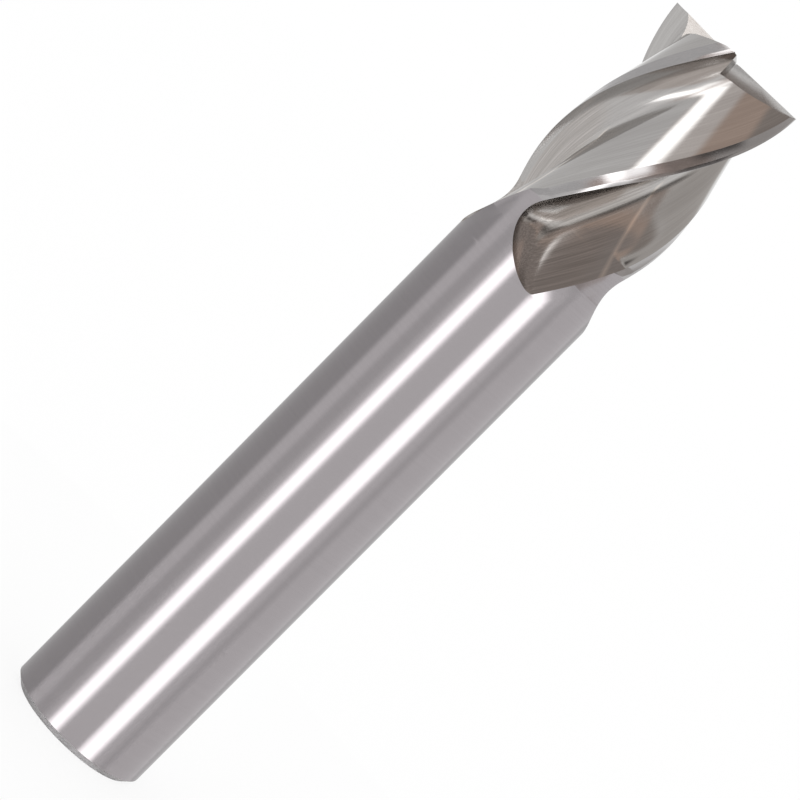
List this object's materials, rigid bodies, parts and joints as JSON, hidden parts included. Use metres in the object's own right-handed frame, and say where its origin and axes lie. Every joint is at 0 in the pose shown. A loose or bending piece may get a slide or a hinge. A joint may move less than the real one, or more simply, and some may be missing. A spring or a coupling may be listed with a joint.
{
  "type": "end mill",
  "caption": "Solid carbide end mill with four right-hand helical flutes, relieved lands, a gashed square end and a plain cylindrical shank with a chamfered rear edge",
  "frame": {"origin": "centre of the flat rear face of the shank, on which the tool stands", "axes": "+Z along the tool's axis from the shank to the cutting end, +X and +Y across it; the corner of one cutting edge lies 4.5 degrees from +X towards -Y"},
  "size_m": [0.016, 0.016, 0.092],
  "materials": {
    "ground_carbide": "bare cemented carbide, finely cylindrically ground on the shank, wheel-ground in the flutes and on the lands"
  },
  "bodies": {
    "root": {"end_mill": "ground_carbide"}
  },
  "joints": []
}
